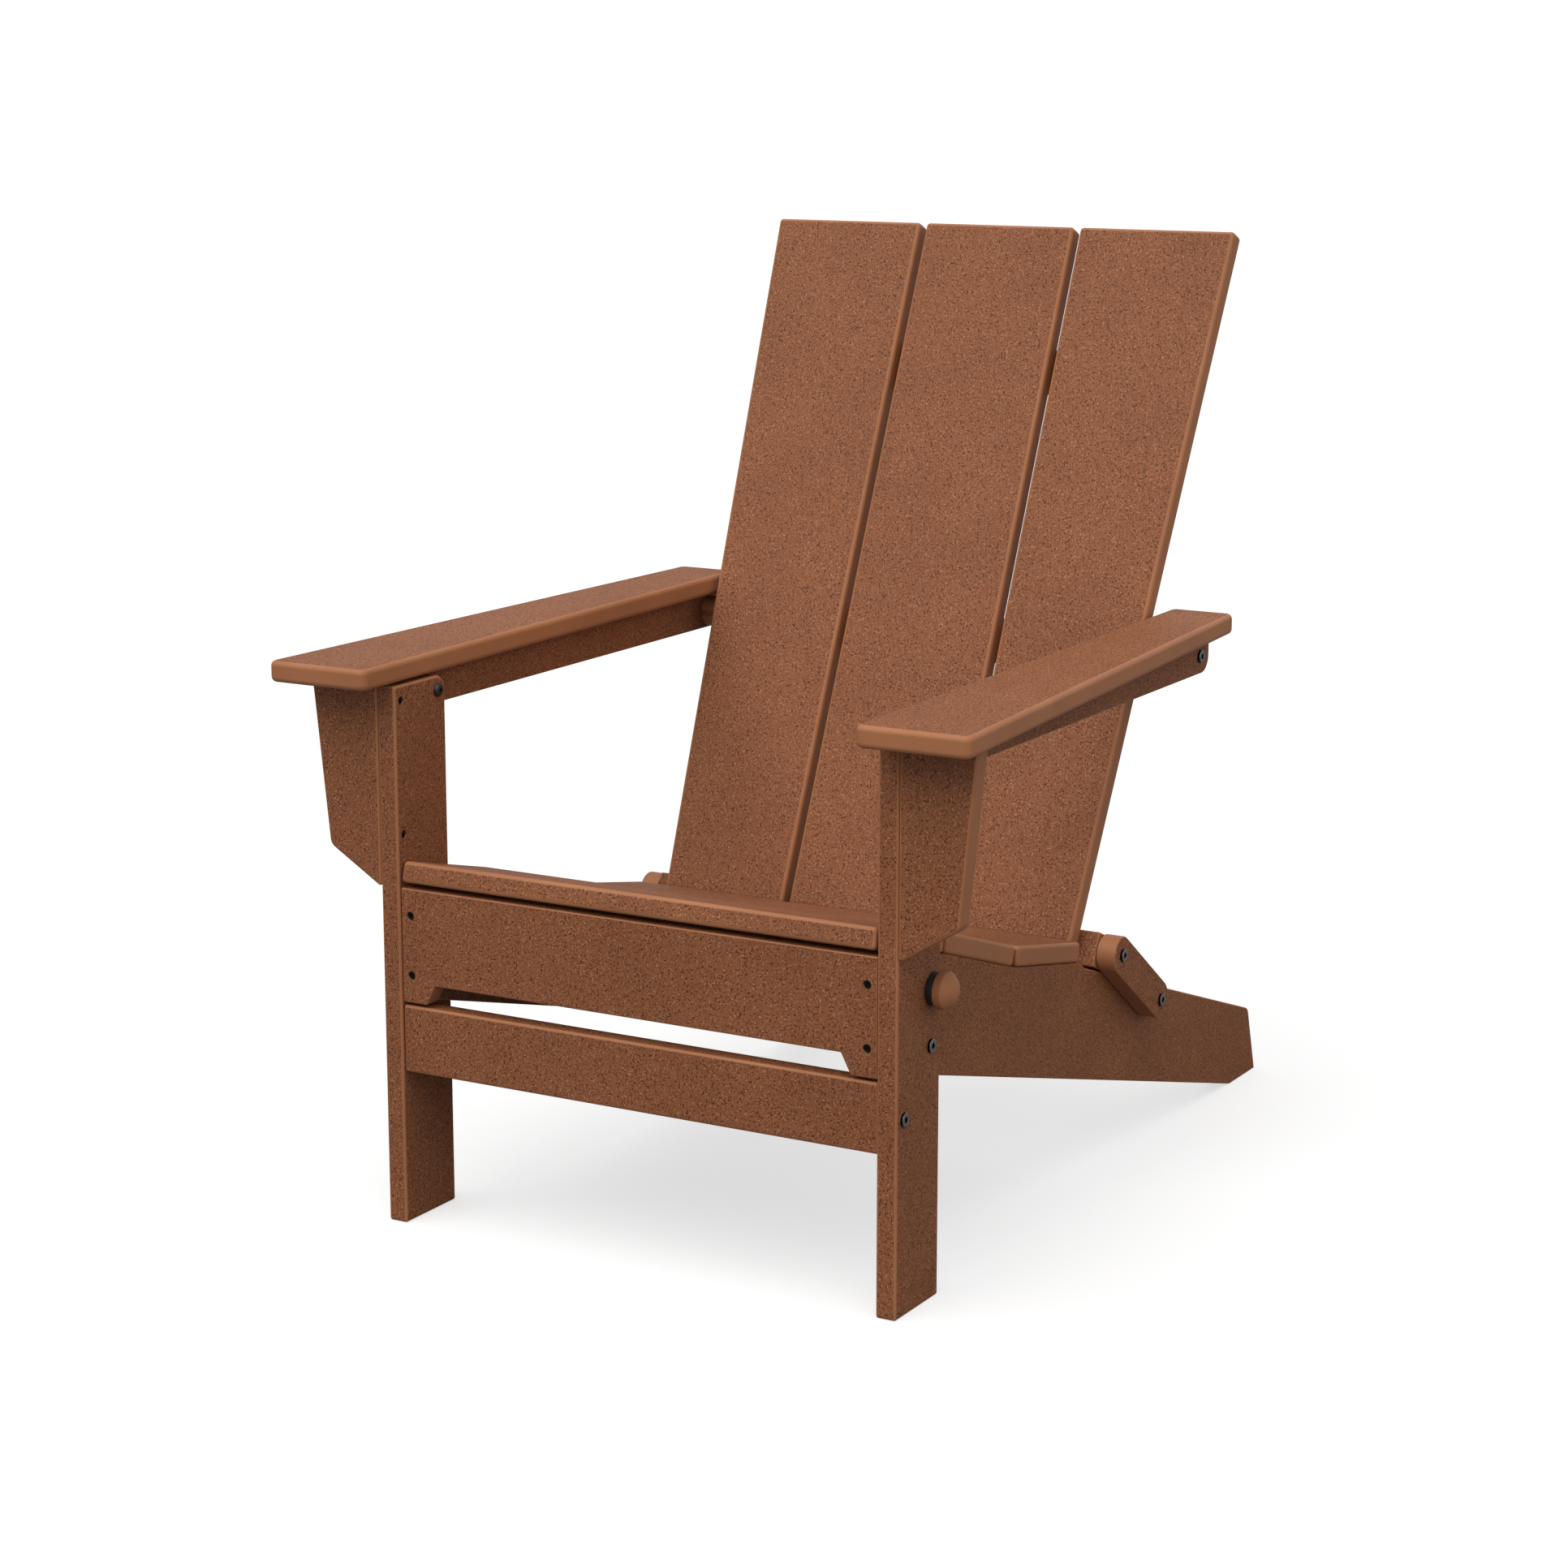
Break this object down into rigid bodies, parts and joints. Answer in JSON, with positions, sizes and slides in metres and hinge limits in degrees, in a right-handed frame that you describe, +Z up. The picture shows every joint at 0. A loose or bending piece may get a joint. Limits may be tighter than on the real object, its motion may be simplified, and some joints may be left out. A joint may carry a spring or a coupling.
{
  "type": "folding adirondack chair",
  "caption": "Folding garden chair of plastic lumber with sloping slatted seat, reclined slatted back, broad flat arms, and pull-out pegs that lock the fold.",
  "frame": {"origin": "middle of the chair's footprint box, on the floor", "axes": "+X towards the sitter's left, the chair faces -Y, +Z up"},
  "size_m": [0.7964, 1.0137, 1.0017],
  "materials": {
    "lumber": "brown through-coloured plastic lumber, planed faces finely speckled, routed edges smooth and satin",
    "peg": "turned brown plastic, smooth satin",
    "collar": "black moulded plastic, satin",
    "steel_bolt": "stainless button head, bright face, dark side wall and socket",
    "black_bolt": "black coated domed head, glossy",
    "screw": "black coated screw",
    "nut": "plain stainless nut"
  },
  "bodies": {
    "seat_frame": {"side_rail_left": "lumber", "side_rail_right": "lumber", "apron": "lumber", "seat_slat_front": "lumber", "seat_slat_middle": "lumber", "seat_slat_rear": "lumber", "apron_screws": "screw", "seat_slat_screws": "screw", "leg_pivot_bolts": "steel_bolt", "leg_pivot_nuts": "nut", "link_pivot_bolts": "steel_bolt", "link_pivot_nuts": "nut"},
    "front_frame": {"front_leg_left": "lumber", "front_leg_right": "lumber", "bracket_left": "lumber", "bracket_right": "lumber", "stretcher": "lumber", "stretcher_bolts": "steel_bolt", "stretcher_barrel_nuts": "nut", "bracket_screws": "screw", "peg_collars": "collar", "arm_pivot_bolts": "black_bolt"},
    "locking_peg_left": {"peg_left": "peg"},
    "locking_peg_right": {"peg_right": "peg"},
    "link_bar_left": {"link_left": "lumber"},
    "link_bar_right": {"link_right": "lumber"},
    "back": {"back_slat_left": "lumber", "back_slat_centre": "lumber", "back_slat_right": "lumber", "upper_cleat": "lumber", "mid_cross_rail": "lumber", "low_cross_rail": "lumber", "cleat_screws": "screw", "mid_rail_screws": "screw", "low_rail_screws": "screw", "mid_rail_barrel_nuts": "nut", "low_rail_barrel_nuts": "nut", "back_foot_bolts": "steel_bolt", "back_pivot_bolts": "steel_bolt"},
    "arm_left": {"arm_board_left": "lumber", "arm_rail_left": "lumber", "arm_pivot_nut_left": "nut", "arm_screws_left": "screw"},
    "arm_right": {"arm_board_right": "lumber", "arm_rail_right": "lumber", "arm_pivot_nut_right": "nut", "arm_screws_right": "screw"}
  },
  "joints": [
    {"name": "leg_fold", "type": "hinge", "parent": "seat_frame", "child": "front_frame", "pos_m": [0, -0.38715, 0.26], "axis": [1, 0, 0], "range_deg": [0, 81]},
    {"name": "link_left_swing", "type": "hinge", "parent": "seat_frame", "child": "link_bar_left", "pos_m": [0, 0.16685, 0.171], "axis": [1, 0, 0], "range_deg": [-77.8, 0]},
    {"name": "link_right_swing", "type": "hinge", "parent": "seat_frame", "child": "link_bar_right", "pos_m": [0, 0.16685, 0.171], "axis": [1, 0, 0], "range_deg": [-77.8, 0]},
    {"name": "back_fold", "type": "hinge", "parent": "link_bar_right", "child": "back", "pos_m": [0, 0.06185, 0.246], "axis": [1, 0, 0], "range_deg": [0, 173.8]},
    {"name": "arm_left_swing", "type": "hinge", "parent": "back", "child": "arm_left", "pos_m": [0, 0.19885, 0.5535], "axis": [1, 0, 0], "range_deg": [-88.2, 0]},
    {"name": "arm_right_swing", "type": "hinge", "parent": "back", "child": "arm_right", "pos_m": [0, 0.19885, 0.5535], "axis": [1, 0, 0], "range_deg": [-88.2, 0]},
    {"name": "peg_left_pull", "type": "slide", "parent": "front_frame", "child": "locking_peg_left", "axis": [1, 0, 0], "range_m": [0, 0.0222]},
    {"name": "peg_right_pull", "type": "slide", "parent": "front_frame", "child": "locking_peg_right", "axis": [-1, 0, 0], "range_m": [0, 0.0222]}
  ],
  "couplings": [
    {"joint": "link_left_swing", "follows": "leg_fold", "ratio": -0.95432},
    {"joint": "link_right_swing", "follows": "leg_fold", "ratio": -0.95432},
    {"joint": "back_fold", "follows": "leg_fold", "ratio": 2.1395},
    {"joint": "arm_left_swing", "follows": "leg_fold", "ratio": -1.0833},
    {"joint": "arm_right_swing", "follows": "leg_fold", "ratio": -1.0833}
  ]
}
